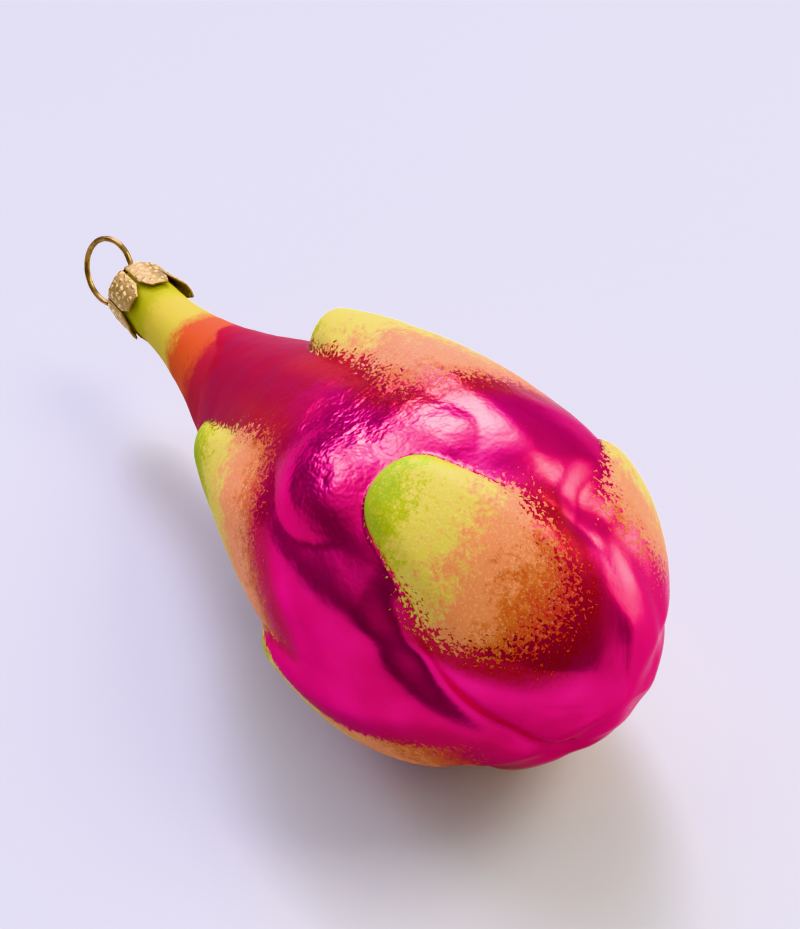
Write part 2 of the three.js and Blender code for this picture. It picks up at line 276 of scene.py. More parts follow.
class WireSettings(bpy.types.PropertyGroup):
    """Sizes and colours of the hanger wire."""

    radius: length("Radius", "Radius of the wire", 0.52)
    loop_radius: length("Loop Radius", "Radius of the loop to the middle of the wire", 5.6)
    loop_rise: length("Loop Rise", "Middle of the loop over the dome", 5.5)
    leg_offset: length("Leg Offset", "From the neck's axis to a leg", 2.4)
    leg_depth: length("Leg Depth", "Depth of a leg below the rim", 14.0)
    angle: turn("Angle", "Turn of the loop about the neck", 21.0)
    lean: FloatProperty(
        name="Lean", description="Sideways, for each unit of height over the dome", default=-0.28
    )
    opening: turn("Opening", "Half the part of the circle left open at the cap", 40.0)
    sides: IntProperty(name="Sides", description="Faces round the wire", default=20, min=6)
    steps: IntProperty(name="Steps", description="Faces between two points of the route", default=16, min=2)
    brass: colour("Brass", "Drawn wire", 184, 150, 86)
    shade: colour("Shade", "Duller streaks along it", 132, 104, 60)


class StageSettings(bpy.types.PropertyGroup):
    """Floor, light and camera."""

    floor: colour("Floor", "Pale floor", 204, 205, 199)
    floor_shade: colour("Floor Shade", "Soft unevenness of the floor", 200, 201, 195)
    floor_size: length("Floor Size", "Side of the floor", 20000.0)
    camera_distance: length("Camera Distance", "From the belly to the camera", 254.4)


# The glass

def smoothstep(x, low, high):
    """0 below low and 1 above high, with a cubic S between them."""
    share = np.clip((x - low) / (high - low), 0.0, 1.0)
    return share * share * (3.0 - 2.0 * share)


def lerp(a, b, share):
    """A straight mix: a at share 0, b at share 1."""
    return a + (b - a) * share


def smooth_min(a, b, blend):
    """The lesser of two, with a parabola where they are within blend of each other."""
    share = np.clip(0.5 + (b - a) / (2.0 * blend), 0.0, 1.0)
    return lerp(b, a, share) - blend * share * (1.0 - share)


def turn_from(degrees, angle):
    """The turn from one angle in degrees to others in radians, the short way round."""
    difference = angle - math.radians(degrees)
    return np.arctan2(np.sin(difference), np.cos(difference))


def waves(points, wavelength, count, seed):
    """Smooth noise: the sum of plane waves of one wavelength in seeded directions, about -1 to 1."""
    random = np.random.default_rng(seed)
    direction = random.normal(size=(count, 3))
    direction *= (2.0 * math.pi / wavelength) / np.linalg.norm(direction, axis=1, keepdims=True)
    phase = random.uniform(0.0, 2.0 * math.pi, count)
    total = np.zeros(points.shape[:-1])
    for wave, start in zip(direction, phase):
        total += np.cos(points @ wave + start)
    return np.clip(total / (1.5 * math.sqrt(count)), -1.0, 1.0)


class Core:
    """The glass without its bracts: a round end up to the belly, then half a cosine wave down to the neck.

    Stations, radii and lengths along the outline are in millimetres.
    """

    def __init__(self, glass):
        self.end = glass.length / MM
        self.belly = glass.belly_station / MM
        self.bend = glass.neck_bend / MM
        belly_radius = glass.belly_radius / MM
        neck_station = glass.neck_station / MM
        self.station = self.end * np.linspace(0.0, 1.0, 4001) ** 2
        before = np.maximum(1.0 - self.station / self.belly, 0.0)
        round_end = belly_radius * (1.0 - before**2) ** ROUND_END_POWER
        after = np.clip((self.station - self.belly) / (neck_station - self.belly), 0.0, 1.0)
        taper = lerp(glass.neck_radius / MM, belly_radius, (1.0 + np.cos(math.pi * after)) / 2.0)
        self.radius = np.where(before > 0.0, round_end, taper)
        steps = np.hypot(np.diff(self.station), np.diff(self.radius))
        self.arc = np.concatenate([[0.0], np.cumsum(steps)])
        self.station_slope = np.gradient(self.station, self.arc)
        self.radius_slope = np.gradient(self.radius, self.arc)

    def at(self, arc):
        """Station, radius and their slopes at lengths along the outline."""
        columns = (self.station, self.radius, self.station_slope, self.radius_slope)
        return [np.interp(arc, self.arc, column) for column in columns]

    def arc_at(self, station):
        """Length along the outline at a station."""
        return np.interp(station, self.station, self.arc)

    def bend_at(self, station):
        """How far the axis has wandered sideways at a station."""
        past = np.maximum(station - self.belly, 0.0) / (self.end - self.belly)
        return self.bend * past**BEND_POWER


def bract_at(core, bract, arc, angle, radius):
    """A bract at each place: height, cover, hollow, distance inside its outline, way down from its tip, turn.

    The outline is a small circle at the tip and a larger one nearer the round end, with their common
    tangents, kept within the bract's sector. The cover rises over the edge as a rounded slope, softer on the
    flanks. The height falls from tip to root, and the hollow is a bell curve just outside the flanks.
    """
    turned = turn_from(bract["angle"], angle)
    across = np.abs(radius * turned)
    tip_arc = core.arc_at(bract["tip"])
    down = tip_arc - bract["nose"] - arc
    slope = (bract["nose"] - bract["breadth"]) / bract["reach"]
    cosine = math.sqrt(1.0 - slope * slope)
    region = cosine * down - slope * across
    broad = bract["breadth"] - np.hypot(across, np.minimum(down - bract["reach"], 0.0))
    middle = bract["nose"] - cosine * across - slope * down
    nose = bract["nose"] - np.hypot(across, down)
    inside = np.where(region < 0.0, nose, np.where(region < cosine * bract["reach"], middle, broad))
    from_sector = radius * (math.radians(bract["sector"]) - np.abs(turned))
    depth_inside = smooth_min(inside, from_sector, CORNER_BLEND)

    along_flank = smoothstep(down, 0.0, EDGE_CHANGE)
    edge = lerp(NOSE_EDGE, bract["flank"], along_flank)
    rounded = (1.0 - (1.0 - np.clip(depth_inside / edge, 0.0, 1.0)) ** 2) ** EDGE_POWER
    cover = lerp(rounded, smoothstep(depth_inside, 0.0, edge), bract["softness"] * along_flank)

    from_tip = np.clip((tip_arc - arc) / tip_arc, 0.0, 1.0)
    height = lerp(bract["height"], ROOT_HEIGHT, smoothstep(from_tip, 0.0, bract["fall"]))

    beside = smoothstep(down, 0.0, bract["nose"]) * (1.0 - smoothstep(from_tip, *HOLLOW_FADE))
    bowl = np.exp(-(((inside + HOLLOW_OFFSET) / HOLLOW_WIDTH) ** 2))
    side = np.where(turned < 0.0, bract["before"], bract["after"])
    hollow = side * beside * bowl * (1.0 - cover)
    return height, cover, hollow, depth_inside, tip_arc - arc, turned


def relief(core, arc, angle, radius):
    """Height over the core: the upper bracts, the swells, then the lower bracts laid over them."""
    level = np.zeros(np.broadcast(arc, angle).shape)
    for bract in UPPER_BRACTS:
        height, cover, hollow, _, _, _ = bract_at(core, bract, arc, angle, radius)
        level = np.maximum(level, height * cover) - hollow
    for swell in SWELLS:
        across = radius * turn_from(swell["angle"], angle)
        away = np.hypot(across, arc - core.arc_at(swell["station"])) / swell["radius"]
        level = np.maximum(level, swell["height"] * smoothstep(1.0 - away, 0.0, SWELL_EDGE))
    for bract in LOWER_BRACTS:
        height, cover, hollow, _, _, _ = bract_at(core, bract, arc, angle, radius)
        level = level - hollow
        level = lerp(level, np.maximum(height, level), cover)
    return lerp(POLE_HEIGHT, level, smoothstep(arc, 0.0, POLE_BLEND))


def paint(core, arc, angle, radius):
    """Where the sponged colours go, as one value per place for each part of the finish.

    sponge rises from the edge of the colour inwards, measured in its own grain; shade runs from 0 at a tip
    to 1 where the colour ends; wash is the red round it; tip_shade_line, the distance to a tip's outline,
    places painted shade.
    """
    shape = np.broadcast(arc, angle).shape
    sponge = np.full(shape, -SPONGE_LIMIT)
    shade = np.zeros(shape)
    wash = np.zeros(shape)
    tip_shade_line = np.full(shape, OFF_TIP_SHADE)
    for layer in (UPPER_BRACTS, LOWER_BRACTS):
        for bract in layer:
            _, cover, _, inside, down, turned_by = bract_at(core, bract, arc, angle, radius)
            if layer is LOWER_BRACTS:
                hidden = smoothstep(cover, *COVERED)
                sponge = lerp(sponge, -SPONGE_LIMIT, hidden)
                wash = wash * (1.0 - hidden)
            aside = radius * turned_by
            end = bract["paint"] + bract["slant"] * aside - bract["bow"] * aside**2
            share = np.clip(down / bract["paint"], 0.0, LAST_SHADE)
            flank = lerp(*bract["bare"], smoothstep(turned_by, -FLANK_CHANGE, FLANK_CHANGE))
            margin = lerp(TIP_MARGIN, flank, smoothstep(down, bract["bare_from"], BARE_TO))
            reach = smooth_min(inside - margin, END_SLOPE * (end - down), PAINT_CORNER)
            grain = lerp(*GRAIN_SPREAD, smoothstep(down / np.maximum(end, 1.0), *GRAIN_CHANGE))
            this = np.clip(reach / grain, -SPONGE_LIMIT, SPONGE_LIMIT)
            tone = bract["first"] + bract["pace"] * share + bract["skew"] * aside / bract["paint"]
            shade = np.where(this > sponge, np.clip(tone, 0.0, LAST_SHADE), shade)
            sponge = np.maximum(sponge, this)
            strength, start = bract["stain"]
            grown = smoothstep(share, start, start + STAIN_GROWTH)
            wash = np.maximum(wash, strength * smoothstep(reach, *STAIN_EDGE) * grown)
            # Painted shade hugs each tip's outline and runs out below the tip.
            off_tip_shade = np.abs(inside) + TIP_SHADE_FAR * smoothstep(down, *TIP_SHADE_FADE)
            tip_shade_line = np.minimum(tip_shade_line, off_tip_shade)
    return sponge, shade, wash, tip_shade_line


def oval_spot(station, angle, spot):
    """1 in the middle of a spot, fading as a bell curve along the glass and round it."""
    along = (station - spot["station"]) / spot["length"]
    aside = np.degrees(turn_from(spot["angle"], angle)) / spot["width"]
    return np.exp(-(along**2) - aside**2)


def closed_rows(rows, first, last):
    """Points and faces of a closed skin: a grid of rings, each end drawn together in one point."""
    count, around = rows.shape[:2]
    points = np.concatenate([rows.reshape(-1, 3), [first], [last]])
    index = np.arange(count * around).reshape(count, around)
    after = np.roll(index, -1, axis=1)
    quads = np.stack([index[:-1], after[:-1], after[1:], index[1:]], axis=-1).reshape(-1, 4)
    start, end = count * around, count * around + 1
    first_fan = np.stack([np.full(around, start), after[0], index[0]], axis=-1)
    last_fan = np.stack([np.full(around, end), index[-1], after[-1]], axis=-1)
    return points, quads, np.concatenate([first_fan, last_fan])


def fitted(points, node):
    """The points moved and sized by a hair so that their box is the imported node's box."""
    low, high = (np.array(corner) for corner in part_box(node))
    size = points.max(axis=0) - points.min(axis=0)
    return low + (points - points.min(axis=0)) * (high - low) / size


def outward(points, quads, triangles):
    """The faces turned so that the volume they close is positive."""
    halves = np.concatenate([quads[:, [0, 1, 2]], quads[:, [0, 2, 3]], triangles])
    a, b, c = (points[halves[:, corner]] for corner in range(3))
    volume = np.einsum("ij,ij->i", a, np.cross(b, c)).sum()
    if volume < 0.0:
        return quads[:, ::-1], triangles[:, ::-1]
    return quads, triangles


def add_piece(name, points, quads, triangles, values, material):
    """A mesh object at the origin, smooth, with one float attribute for each of the values."""
    mesh = bpy.data.meshes.new(name)
    mesh.from_pydata(points.tolist(), [], quads.tolist() + triangles.tolist())
    for key, value in values.items():
        attribute = mesh.attributes.new(key, "FLOAT", "POINT")
        attribute.data.foreach_set("value", np.ascontiguousarray(value, dtype=np.float32))
    mesh.shade_smooth()
    mesh.materials.append(material)
    piece = bpy.data.objects.new(name, mesh)
    bpy.context.scene.collection.objects.link(piece)
    return piece


def lying(points, droop, lift):
    """Points of the level ornament, turned about Y by the neck's droop and lifted, all in millimetres."""
    x, y, z = np.moveaxis(points, -1, 0)
    cosine, sine = math.cos(droop), math.sin(droop)
    return np.stack([x * cosine - z * sine, y, x * sine + z * cosine + lift], axis=-1)


def glass_rows(core, arc, angle, depth):
    """Rings of the glass at a depth under its outside: the core moved along its normal by the relief."""
    station, radius, station_slope, radius_slope = core.at(arc)
    rise = relief(core, arc, angle, radius) - depth
    station = station - radius_slope * rise
    radius = np.maximum(radius + station_slope * rise, 0.0)
    return np.stack(
        [-station, core.bend_at(station) + radius * np.sin(angle), radius * np.cos(angle)], axis=-1
    )


# Finishes

class Sheet:
    """The node tree of a material or of the world, with short ways to add and join its nodes."""

    def __init__(self, owner, ending):
        owner.use_nodes = True
        self.owner = owner
        self.tree = owner.node_tree
        self.ending = next(node for node in self.tree.nodes if node.type == ending)
        self.coordinates = self.add("ShaderNodeTexCoord").outputs

    def add(self, kind, **settings):
        """A new node with its settings."""
        node = self.tree.nodes.new(kind)
        for key, value in settings.items():
            setattr(node, key, value)
        return node

    def put(self, socket, value):
        """Join another node's output to a socket, or set the socket itself, a colour as opaque."""
        if isinstance(value, bpy.types.NodeSocket):
            self.tree.links.new(value, socket)
        elif socket.type == "RGBA":
            socket.default_value = (*value, 1.0)
        else:
            socket.default_value = value

    def fill(self, sockets, values):
        """Put one value into each of the sockets."""
        for socket, value in zip(sockets, values):
            self.put(socket, value)

    def set(self, name, value):
        """Put a value into the last node, the shader or the background."""
        self.put(self.ending.inputs[name], value)

    def value(self, name):
        """The mesh's own value of that name."""
        return self.add("ShaderNodeAttribute", attribute_name=name).outputs["Fac"]

    def math(self, operation, a, b=0.0, c=0.0):
        """A sum with up to three values."""
        node = self.add("ShaderNodeMath", operation=operation)
        self.fill(node.inputs, (a, b, c))
        return node.outputs[0]

    def vector(self, operation, *values):
        """A sum with vectors; a dot product comes out as one value."""
        node = self.add("ShaderNodeVectorMath", operation=operation)
        self.fill(node.inputs, values)
        return node.outputs["Value" if operation == "DOT_PRODUCT" else "Vector"]

    def between(self, value, low, high, start=0.0, end=1.0):
        """A cubic S from start at low to end at high."""
        node = self.add("ShaderNodeMapRange", interpolation_type="SMOOTHSTEP")
        self.fill(node.inputs, (value, low, high, start, end))
        return node.outputs[0]

    def noise(self, size, detail=2.0, roughness=0.5, distortion=0.0):
        """Noise whose blobs are about size millimetres."""
        node = self.add("ShaderNodeTexNoise")
        self.put(node.inputs["Vector"], self.coordinates["Object"])
        names = ("Scale", "Detail", "Roughness", "Distortion")
        self.fill([node.inputs[name] for name in names], (1.0 / (size * MM), detail, roughness, distortion))
        return node.outputs["Fac"]

    def mix(self, share, a, b):
        """A mix of two colours: a at share 0, b at share 1."""
        node = self.add("ShaderNodeMix", data_type="RGBA")
        self.fill((node.inputs[0], node.inputs[6], node.inputs[7]), (share, a, b))
        return node.outputs[2]

    def ramp(self, value, stops):
        """Colours at places from 0 to 1, mixed in between."""
        node = self.add("ShaderNodeValToRGB")
        elements = node.color_ramp.elements
        while len(elements) < len(stops):
            elements.new(1.0)
        for element, (place, shade) in zip(elements, stops):
            element.position = place
            element.color = (*shade, 1.0)
        self.put(node.inputs[0], value)
        return node.outputs[0]

    def bump(self, height, strength, distance, normal=None):
        """A normal for low relief, distance in millimetres, over another one if given."""
        node = self.add("ShaderNodeBump")
        sockets = [node.inputs[name] for name in ("Height", "Strength", "Distance")]
        self.fill(sockets, (height, strength, distance * MM))
        if normal is not None:
            self.put(node.inputs["Normal"], normal)
        return node.outputs[0]


def finish_sheet(name):
    """A new material's sheet."""
    return Sheet(bpy.data.materials.new(name), "BSDF_PRINCIPLED")


def lacquered_glass(glass):
    """Silvered glass under pink lacquer, with sponged bracts, a painted neck and fine waves from blowing."""
    sheet = finish_sheet("lacquered_glass")
    fine = sheet.noise(0.3, roughness=0.6)
    crumb = sheet.noise(0.55, detail=3.0, roughness=0.6, distortion=0.5)
    patch = sheet.noise(1.5, distortion=0.4)
    blotch = sheet.noise(3.4, detail=4.0, roughness=0.6)
    cloud = sheet.noise(14.0)

    pink = sheet.mix(sheet.between(cloud, 0.35, 0.65), glass.lacquer, glass.lacquer_deep)

    # The neck: rosy crimson, a red edge, then orange, yellow and green up to the cap.
    station = sheet.value("station")
    neck_edge = sheet.math("MULTIPLY_ADD", blotch, 7.0, sheet.value("neck_edge"))
    neck_edge = sheet.math("SUBTRACT", neck_edge, 3.5)
    rosy = sheet.between(sheet.math("MULTIPLY_ADD", blotch, 12.0, station), 53.0, 67.0)
    crimson = sheet.mix(sheet.between(blotch, 0.3, 0.75, 0.0, 0.6), glass.shoulder, glass.edge_red)
    base = sheet.mix(rosy, pink, crimson)
    near_edge = sheet.math("ABSOLUTE", sheet.math("ADD", neck_edge, 1.6))
    base = sheet.mix(sheet.between(near_edge, 0.6, 2.8, 1.0, 0.0), base, glass.edge_red)
    neck_place = sheet.math("MULTIPLY_ADD", blotch, 8.0, sheet.math("MULTIPLY_ADD", crumb, 5.0, station))
    neck_colour = sheet.ramp(
        sheet.math("DIVIDE", sheet.math("SUBTRACT", neck_place, 96.0), 28.0),
        [(0.0, glass.edge_red), (0.14, glass.neck_orange), (0.36, glass.neck_orange),
         (0.52, glass.neck_yellow), (0.72, glass.neck_yellow), (0.86, glass.neck_green)],
    )
    neck = sheet.between(neck_edge, -0.8, 0.8)
    base = sheet.mix(neck, base, neck_colour)

    wash = sheet.math("MULTIPLY", sheet.value("wash"), sheet.between(crumb, 0.3, 0.6, 0.75, 1.0))
    base = sheet.mix(wash, base, glass.wash)

    # The sponged colours, in grains that thin out towards the edge of the paint.
    shade = sheet.math("MULTIPLY_ADD", blotch, 0.3, sheet.value("shade"))
    shade = sheet.math("MULTIPLY_ADD", patch, 0.3, shade)
    shade = sheet.math("MULTIPLY_ADD", crumb, 0.44, shade)
    sponged = sheet.ramp(
        sheet.math("SUBTRACT", shade, 0.5),
        [(0.0, glass.deep_green), (0.08, glass.deep_green), (0.2, glass.green),
         (0.3, glass.yellow), (0.42, glass.yellow), (0.58, glass.peach),
         (0.7, glass.peach), (0.84, glass.orange), (1.0, glass.red)],
    )
    sponged = sheet.mix(sheet.between(fine, 0.52, 0.68, 0.0, 0.24), sponged, glass.cream)
    grains = sheet.math("MULTIPLY_ADD", crumb, 1.8, sheet.value("sponge"))
    cover = sheet.between(grains, 0.84, 0.94)
    base = sheet.mix(cover, base, sponged)

    stray = sheet.math("MULTIPLY", sheet.value("stray"), sheet.between(crumb, 0.58, 0.66))
    base = sheet.mix(stray, base, glass.neck_orange)
    # Painted shade: a dark line along the tips' outlines, where a raised tip would shade the glass beside it.
    line = sheet.between(sheet.value("tip_shade_line"), 0.05, 0.5, 0.7, 0.0)
    sheet.set("Base Color", sheet.mix(line, base, glass.line))

    # Bare lacquer lets the silvering shine, less on the shoulder and under the red wash; paint is satin.
    painted = sheet.math("MAXIMUM", cover, neck)
    bare = sheet.math("SUBTRACT", 1.0, painted)
    shine = sheet.math("MULTIPLY_ADD", rosy, -0.6, 1.0)
    shine = sheet.math("MULTIPLY_ADD", wash, -0.45, shine)
    sheet.set("Metallic", sheet.math("MULTIPLY", bare, shine))
    satin = sheet.math("MULTIPLY_ADD", rosy, 0.25, sheet.between(cloud, 0.3, 0.7, 0.22, 0.3))
    sheet.set("Roughness", sheet.math("MULTIPLY_ADD", painted, 0.3, satin))
    sheet.set("Specular IOR Level", sheet.math("MULTIPLY_ADD", painted, 0.1, 0.2))
    sheet.set("Specular Tint", sheet.mix(painted, PINK_GLOSS, WHITE_GLOSS))
    gloss = sheet.math("MULTIPLY_ADD", rosy, -0.14, 0.16)
    sheet.set("Coat Weight", sheet.math("MULTIPLY", bare, gloss))
    sheet.set("Coat Roughness", 0.24)

    # Dents of the blowing, deepest above the front bract, and the thickness of the sponged grains.
    dents = sheet.math("MULTIPLY", sheet.noise(4.0, detail=3.0, roughness=0.6), sheet.value("dents"))
    dented = sheet.bump(dents, 1.0, 0.9)
    grain = sheet.math("MULTIPLY", crumb, cover)
    sheet.set("Normal", sheet.bump(grain, 0.35, 0.12, dented))
    return sheet.owner


def grained_brass(cap):
    """Stamped brass, bright on the raised grain and darker in the low places and along the slits, where the
    creases between the leaves hold painted shade.
    """
    sheet = finish_sheet("grained_brass")
    level = sheet.math("MULTIPLY_ADD", sheet.noise(0.5, detail=3.0), 0.3, sheet.value("raised"))
    # Low grain and the painted shade in the creases take the darker brass.
    sheet.set("Base Color", sheet.mix(sheet.between(level, 0.1, 0.75), cap.dark_brass, cap.brass))
    sheet.set("Roughness", sheet.between(level, 0.1, 0.8, 0.45, 0.26))
    sheet.set("Metallic", 0.85)
    sheet.set("Normal", sheet.bump(sheet.noise(0.3, detail=3.0), 0.2, 0.05))
    return sheet.owner


def drawn_brass(wire):
    """Drawn brass wire with dull streaks."""
    sheet = finish_sheet("drawn_brass")
    streak = sheet.noise(1.6, detail=4.0, roughness=0.6)
    sheet.set("Base Color", sheet.mix(sheet.between(streak, 0.35, 0.65), wire.brass, wire.shade))
    sheet.set("Roughness", sheet.between(streak, 0.3, 0.7, 0.24, 0.4))
    sheet.set("Metallic", 1.0)
    sheet.set("Normal", sheet.bump(streak, 0.2, 0.05))
    return sheet.owner


def pale_floor(stage):
    """Pale matt board with a soft unevenness."""
    sheet = finish_sheet("pale_floor")
    cloud = sheet.noise(180.0)
    sheet.set("Base Color", sheet.mix(sheet.between(cloud, 0.3, 0.7), stage.floor, stage.floor_shade))
    sheet.set("Roughness", 0.6)
    sheet.set("Specular IOR Level", 0.2)
    return sheet.owner


# The pieces

def resting_lift(skin, glass):
    """How far the drooping skin is lifted: its lowest place is then under the floor by the flat's depth."""
    return -lying(skin, glass.droop, 0.0)[..., 2].min() - glass.flat_depth / MM


def blown_rows(core, glass, outer_arc, inner_arc, angle):
    """Rings of the outside and of the hollow, lying on the floor, and the two points that close them.

    The outside sinks towards the middle of each ring by its ripples, sums of waves that fade at both ends.
    What is below the floor is pressed flat.
    """
    wall = glass.wall / MM
    outer = glass_rows(core, outer_arc, angle, 0.0)
    inner = glass_rows(core, inner_arc, angle, wall)
    pole = np.zeros((1, 1))
    ends = np.array([glass_rows(core, pole, angle, depth).mean(axis=(0, 1)) for depth in (0.0, wall)])
    lift = resting_lift(outer, glass)
    rows = lying(np.concatenate([outer, inner]), glass.droop, lift)

    outside = rows[: glass.along]
    hand = sum(share * waves(outside, wavelength, RIPPLE_WAVES, seed) for wavelength, share, seed in RIPPLES)
    inwards = outside.mean(axis=1, keepdims=True) - outside
    inwards /= np.maximum(np.linalg.norm(inwards, axis=-1, keepdims=True), TINY)
    ripple = (1.0 + hand) * 0.5 * glass.ripple / MM
    fade = smoothstep(outer_arc, *RIPPLE_START) * (1.0 - smoothstep(outer_arc - core.arc[-1], *RIPPLE_STOP))
    outside += inwards * (ripple * fade)[..., None]
    rows[..., 2] = np.maximum(rows[..., 2], 0.0)
    return rows, lying(ends, glass.droop, lift)


def finish_values(core, arc, angle):
    """What the finish of the glass reads, one value for each place."""
    station, radius, _, _ = core.at(arc)
    sponge, shade, wash, tip_shade_line = paint(core, arc, angle, radius)
    edge = np.interp(np.degrees(angle), NECK_EDGE_ANGLES, NECK_EDGE_STATIONS, period=360.0)
    return {
        "sponge": sponge,
        "shade": shade,
        "wash": wash,
        "tip_shade_line": tip_shade_line,
        "stray": oval_spot(station, angle, STRAY_GRAINS),
        "dents": DENTS_ALL_OVER + oval_spot(station, angle, DENT_BAND),
        "station": np.broadcast_to(station, sponge.shape),
        "neck_edge": station - edge,
    }


class ORNAMENT_OT_glass(bpy.types.Operator):
    """Build the hollow lacquered glass with its raised bracts"""

    bl_idname = "ornament.glass"
    bl_label = "Build Glass"

    def execute(self, context):
        glass = context.scene.ornament_glass
        core = Core(glass)
        angle = np.linspace(-math.pi, math.pi, glass.around, endpoint=False)[None, :]
        outer_arc = np.linspace(0.0, core.arc[-1], glass.along + 1)[1:, None]
        inner_arc = np.linspace(core.arc[-1], 0.0, glass.inside + 1)[:-1, None]
        rows, ends = blown_rows(core, glass, outer_arc, inner_arc, angle)
        points, quads, triangles = closed_rows(rows, *ends)
        points = fitted(points * MM, "glass_body")
        quads, triangles = outward(points, quads, triangles)

        values = finish_values(core, np.concatenate([outer_arc, inner_arc]), angle)
        for key, value in values.items():
            values[key] = np.concatenate([value.ravel(), [value[0].mean(), value[-1].mean()]])
        piece = add_piece("glass", points, quads, triangles, values, lacquered_glass(glass))
        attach(piece, "root")
        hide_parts("glass_body")
        return {"FINISHED"}


def rim_place(points, glass):
    """Points made on the rim's own axes, in millimetres, put into the part's frame, in metres.

    On the rim X is to the side, Y outwards and Z up. It sits on the end of the bent neck, turned by the
    bend's slope, and lies with the glass.
    """
    end, bend = glass.length / MM, glass.neck_bend / MM
    slope = math.atan(BEND_POWER * bend / (end - glass.belly_station / MM))
    cosine, sine = math.cos(math.pi / 2.0 - slope), math.sin(math.pi / 2.0 - slope)
    x, y, z = np.moveaxis(points, -1, 0)
    level = np.stack([x * cosine - y * sine - end, x * sine + y * cosine + bend, z], axis=-1)
    core = Core(glass)
    angle = np.linspace(-math.pi, math.pi, SKIN_SAMPLES, endpoint=False)[None, :]
    arc = np.linspace(0.0, core.arc[-1], SKIN_SAMPLES)[:, None]
    skin = glass_rows(core, arc, angle, 0.0)
    lift = resting_lift(skin, glass)
    skin_x, skin_y, _ = np.moveaxis(lying(skin, glass.droop, lift), -1, 0)
    low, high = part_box("glass_body")
    middle_y = (skin_y.min() + skin_y.max()) / 2.0
    shift = np.array([low.x / MM - skin_x.min(), (low.y + high.y) / 2.0 / MM - middle_y, 0.0])
    return (lying(level, glass.droop, lift) + shift) * MM


def turned(points, angle):
    """Points turned about the rim's Y axis, from +Z towards +X."""
    x, y, z = np.moveaxis(points, -1, 0)
    cosine, sine = math.cos(angle), math.sin(angle)
    return np.stack([x * cosine + z * sine, y, -x * sine + z * cosine], axis=-1)


def stamped_leaves(cap):
    """Points, faces and raised grain of the cap's sheet, one sector of the dome with its leaf after another;
    the grain is dimmed in the creases as painted shade.

    The profile runs from the middle of the dome over a quarter ellipse to the end of a leaf. A leaf is
    narrower than its sector below the slit's top, and its corners are cut. The sheet sinks between the
    pebbles, the high places of a sum of waves, and in the creases between the leaves.
    """
    across, down = CAP_FACES
    sector = math.pi / cap.leaves
    share = np.linspace(-1.0, 1.0, across + 1)[None, :]
    way = np.linspace(0.0, 1.0, down + 1)[:, None]
    shoulder, dome = cap.shoulder_radius / MM, cap.dome / MM
    quarter = math.pi / 2.0 * np.clip(way / DOME_SHARE, 0.0, 1.0)
    leaf = np.clip((way - DOME_SHARE) / (1.0 - DOME_SHARE), 0.0, 1.0)
    radius = np.where(leaf > 0.0, lerp(shoulder, cap.radius / MM, leaf), shoulder * np.sin(quarter))
    height = np.where(leaf > 0.0, -leaf * cap.leaf / MM, dome * np.cos(quarter))

    half_gap = np.where(height < cap.slit_top / MM, cap.slit_width / MM / 2.0, 0.0)
    notch = np.clip((cap.notch_top / MM - height) / (cap.notch_top / MM + cap.leaf / MM), 0.0, 1.0)
    half_gap = half_gap + notch * (cap.notch_width - cap.slit_width) / MM / 2.0
    half_angle = sector - half_gap / np.maximum(radius, LEAST_RADIUS)

    from_slit = (1.0 - np.abs(share)) * radius * sector
    grained = smoothstep(from_slit, 0.0, SMOOTH_EDGE) * (1.0 - smoothstep(leaf, *SMOOTH_END))
    crease = (1.0 - smoothstep(from_slit, 0.0, CREASE_WIDTH)) * smoothstep(way, *CREASE_START)

    places, faces, raised = [], [], []
    index = np.arange((down + 1) * (across + 1)).reshape(down + 1, across + 1)
    grid = np.stack([index[:-1, :-1], index[1:, :-1], index[1:, 1:], index[:-1, 1:]], axis=-1).reshape(-1, 4)
    for number in range(cap.leaves):
        middle = cap.first_slit + sector + 2.0 * sector * number
        angle = middle + share * half_angle
        place = np.stack(
            [radius * np.sin(angle), np.broadcast_to(height, angle.shape), radius * np.cos(angle)], axis=-1
        )
        pebble = grained * smoothstep(waves(place, PEBBLE_SIZE, PEBBLE_WAVES, PEBBLE_SEED), *PEBBLE_EDGE)
        sink = cap.grain / MM * (1.0 - pebble) + CREASE_DEPTH * crease
        from_standing = math.remainder(math.degrees(middle) - STANDING_LEAF, 360.0)
        standing = cap.standing / MM if abs(from_standing) < math.degrees(sector) else OTHER_LEAVES
        moved = standing * leaf**LEAF_CURL - sink * np.sin(quarter)
        scale = np.where(radius > 0.0, (radius + moved) / np.maximum(radius, TINY), 1.0)
        place[..., [0, 2]] *= scale[..., None]
        place[..., 1] -= sink * np.cos(quarter)
        places.append(place.reshape(-1, 3))
        faces.append(grid + number * index.size)
        # The grain's brightness drops in the creases between the leaves: painted shade.
        raised.append((pebble * (1.0 - CREASE_SHADE * crease)).ravel())
    return np.concatenate(places), np.concatenate(faces), np.concatenate(raised)


def wire_holes(points, quads, cap, wire):
    """The sheet with two wire holes: faces inside a hole go, and the points there move out to its edge."""
    for side in (-1.0, 1.0):
        hole = np.array([side * math.sin(wire.angle), side * math.cos(wire.angle)]) * cap.hole_offset / MM
        away = points[:, [0, 2]] - hole
        distance = np.linalg.norm(away, axis=1)
        inside = (distance < cap.hole / MM) & (points[:, 1] > 0.0)
        quads = quads[~inside[quads].all(axis=1)]
        move = np.where(inside, cap.hole / MM / np.maximum(distance, TINY), 1.0)[:, None]
        points[:, [0, 2]] = hole + away * move
    return points, quads


